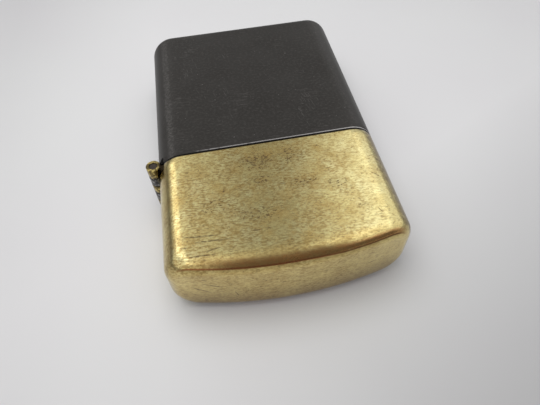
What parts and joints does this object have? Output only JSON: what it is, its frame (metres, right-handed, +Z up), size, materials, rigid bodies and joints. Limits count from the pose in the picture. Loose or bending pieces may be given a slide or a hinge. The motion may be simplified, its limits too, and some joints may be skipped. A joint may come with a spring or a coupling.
{
  "type": "flip-top petrol lighter",
  "caption": "Flip-top windproof petrol lighter, shut and lying on its front face: hinged brass lid, dark case, and a pull-out insert with striking wheel, wick and windscreen.",
  "frame": {"origin": "middle of the resting front face, at half the shut lighter's length", "axes": "+X to the right, away from the hinge; +Y from the lid towards the case's base; +Z up, out of the back face"},
  "size_m": [0.0378, 0.0556, 0.0128],
  "materials": {
    "case_dark": "satin gunmetal, worn at its edges",
    "lid_brass": "aged brass with brown patina",
    "hinge_dark": "satin gunmetal",
    "hinge_brass": "aged brass",
    "pin_steel": "dark steel",
    "insert_steel": "brushed",
    "cam_steel": "pressed steel",
    "rivet_steel": "plain",
    "spring_steel": "spring steel",
    "wheel_steel": "hardened, file cut",
    "tube_brass": "plain brass",
    "flint_alloy": "matt alloy",
    "wick_cotton": "twisted cotton",
    "packing_cotton": "loose cotton",
    "felt": "felt"
  },
  "bodies": {
    "case": {"case_shell": "case_dark", "case_hinge_leaf": "hinge_dark", "hinge_pin": "pin_steel"},
    "lid": {"lid_shell": "lid_brass", "lid_hinge_leaf": "hinge_brass"},
    "insert": {"insert_can": "insert_steel", "windscreen": "insert_steel", "cam_rivet": "rivet_steel", "cam_spring": "spring_steel", "spring_rivet": "rivet_steel", "wheel_rivet": "rivet_steel", "flint_tube": "tube_brass", "flint": "flint_alloy", "flint_plunger": "tube_brass", "flint_spring": "spring_steel", "flint_screw": "tube_brass", "wick": "wick_cotton", "packing_balls": "packing_cotton", "felt_pad": "felt"},
    "cam": {"cam_lever": "cam_steel"},
    "wheel": {"flint_wheel": "wheel_steel"}
  },
  "joints": [
    {"name": "lid_hinge", "type": "hinge", "parent": "case", "child": "lid", "pos_m": [-0.0186, -0.00575, 0.0064], "axis": [0, 0, -1], "range_deg": [0, 114]},
    {"name": "insert_slide", "type": "slide", "parent": "case", "child": "insert", "axis": [0, -1, 0], "range_m": [0, 0.005]},
    {"name": "cam_pivot", "type": "hinge", "parent": "insert", "child": "cam", "pos_m": [-0.01298, -0.00985, 0.0064], "axis": [0, 0, -1], "range_deg": [0, 38]},
    {"name": "wheel_spin", "type": "hinge", "parent": "insert", "child": "wheel", "pos_m": [0.0121, -0.01225, 0.0064], "axis": [0, 0, 1], "continuous": true}
  ],
  "couplings": [
    {"joint": "cam_pivot", "follows": "lid_hinge", "ratio": 0.3333}
  ]
}
